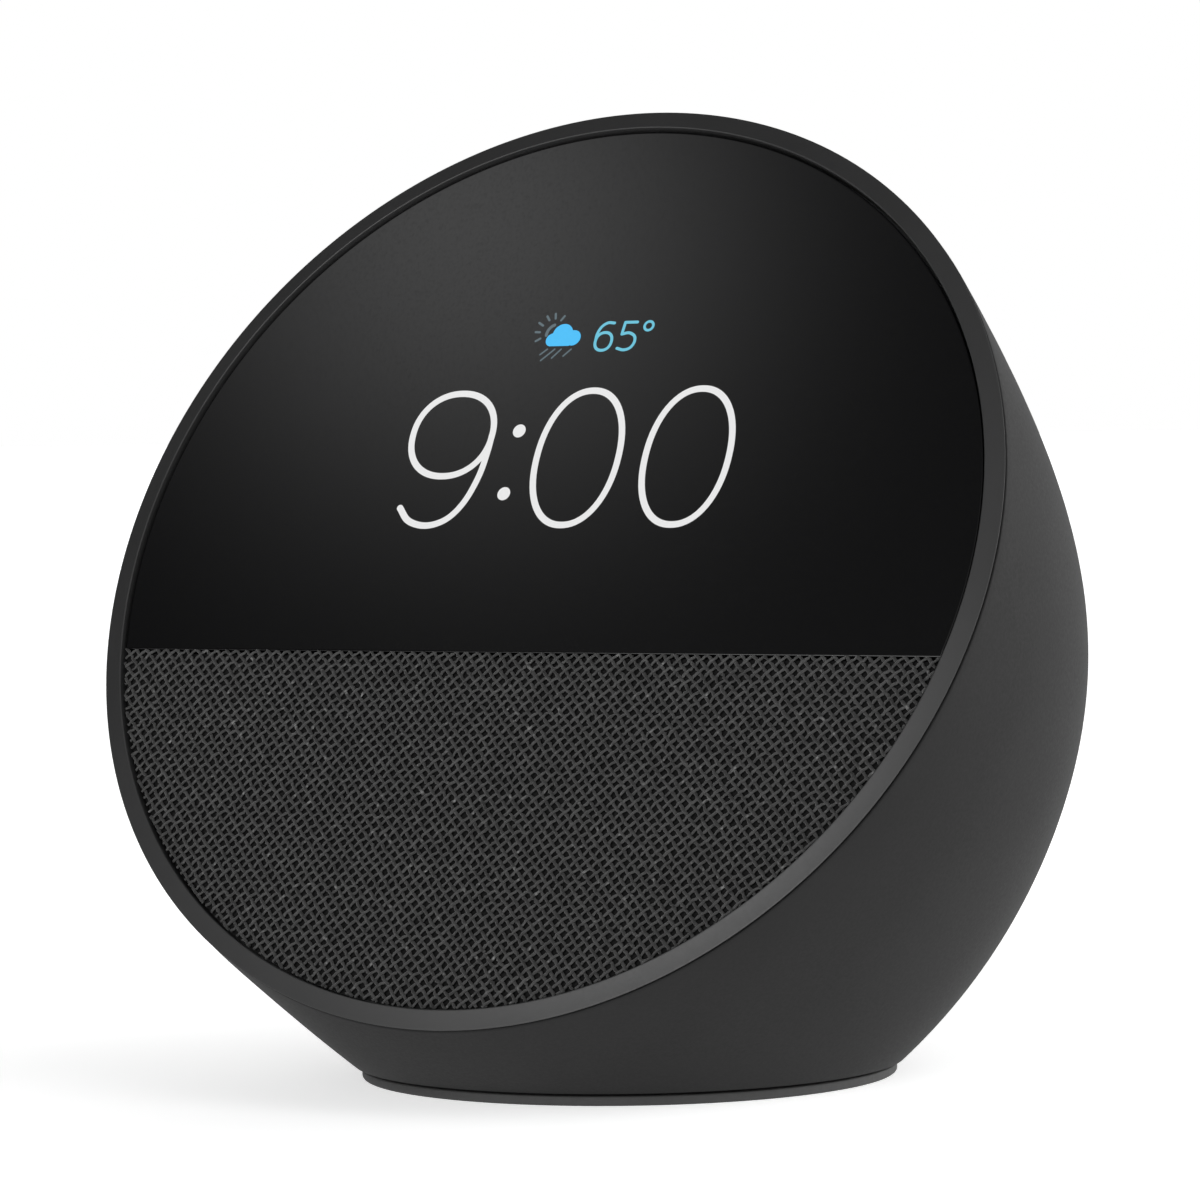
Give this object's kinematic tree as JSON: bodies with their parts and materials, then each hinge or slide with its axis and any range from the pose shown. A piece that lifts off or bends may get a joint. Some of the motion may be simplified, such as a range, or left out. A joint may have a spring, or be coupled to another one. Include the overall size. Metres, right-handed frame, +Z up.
{
  "type": "smart display",
  "caption": "Compact round smart display: a charcoal dome on a flat foot, with a tilted round front split between a black touch glass and a dark cloth speaker grille, and press buttons on top.",
  "frame": {"origin": "on the surface it stands on, under the middle of the overall box", "axes": "+Z up, the tilted front faces -Y, +X to its right as seen from behind the front, so the volume-up button is on +X"},
  "size_m": [0.113, 0.103, 0.1103],
  "materials": {
    "charcoal_plastic": "matte, very fine grain",
    "rim_plastic": "matte, fine satin",
    "black_glass": "opaque gloss",
    "dark_cloth": "open weave",
    "foot_rubber": "matte",
    "black_plastic": "moulded",
    "steel": "plated",
    "aluminium": "extruded",
    "brass": "turned",
    "copper": "wound wire",
    "ferrite": "sintered",
    "circuit_board": "solder mask",
    "flex_circuit": "film",
    "display_cell": "polarised film",
    "light_guide": "frosted",
    "speaker_paper": "pressed pulp",
    "foam": "open cell",
    "wire_sleeve": "soft sleeve"
  },
  "bodies": {
    "housing": {"rear_shell": "charcoal_plastic", "face_rim": "rim_plastic", "cover_glass": "black_glass", "grille_fabric": "dark_cloth", "speaker_spider": "dark_cloth", "grille_frame": "black_plastic", "front_chassis": "black_plastic", "light_sensor": "black_plastic", "speaker_enclosure": "black_plastic", "power_inlet": "black_plastic", "base_plate": "black_plastic", "button_bracket": "black_plastic", "display_panel": "display_cell", "display_backlight": "light_guide", "display_frame": "steel", "speaker_basket": "steel", "speaker_top_plate": "steel", "speaker_yoke": "steel", "processor_shield": "steel", "volume_down_switch": "steel", "microphone_switch": "steel", "volume_up_switch": "steel", "microphone_left": "steel", "microphone_right": "steel", "base_screw_1": "steel", "base_screw_2": "steel", "base_screw_3": "steel", "base_screw_4": "steel", "chassis_screw_1": "steel", "chassis_screw_2": "steel", "chassis_screw_3": "steel", "chassis_screw_4": "steel", "board_screw_1": "steel", "board_screw_2": "steel", "board_screw_3": "steel", "board_screw_4": "steel", "inlet_screw_1": "steel", "inlet_screw_2": "steel", "display_flex": "flex_circuit", "wireless_antenna": "flex_circuit", "button_flex": "flex_circuit", "base_foot": "foot_rubber", "speaker_surround": "foot_rubber", "microphone_boot_left": "foot_rubber", "microphone_boot_right": "foot_rubber", "speaker_magnet": "ferrite", "speaker_gasket": "foam", "main_board": "circuit_board", "inlet_board": "circuit_board", "heat_sink": "aluminium", "power_inlet_pin": "brass", "speaker_lead": "wire_sleeve", "power_lead": "wire_sleeve"},
    "volume_down": {"volume_down_button": "charcoal_plastic"},
    "microphone": {"microphone_button": "charcoal_plastic"},
    "volume_up": {"volume_up_button": "charcoal_plastic"},
    "speaker_cone_assembly": {"speaker_cone": "speaker_paper", "speaker_dust_cap": "speaker_paper", "speaker_voice_coil": "copper"}
  },
  "joints": [
    {"name": "volume_down_press", "type": "slide", "parent": "housing", "child": "volume_down", "axis": [0.2314, -0.6443, -0.729], "range_m": [0, 0.0004], "stiffness_N_per_m": 800},
    {"name": "microphone_press", "type": "slide", "parent": "housing", "child": "microphone", "axis": [0, -0.6627, -0.7489], "range_m": [0, 0.0004], "stiffness_N_per_m": 800},
    {"name": "volume_up_press", "type": "slide", "parent": "housing", "child": "volume_up", "axis": [-0.2314, -0.6443, -0.729], "range_m": [0, 0.0004], "stiffness_N_per_m": 800},
    {"name": "speaker_cone_travel", "type": "slide", "parent": "housing", "child": "speaker_cone_assembly", "axis": [0, -0.891, 0.454], "range_m": [-0.001, 0.001], "stiffness_N_per_m": 1500}
  ]
}
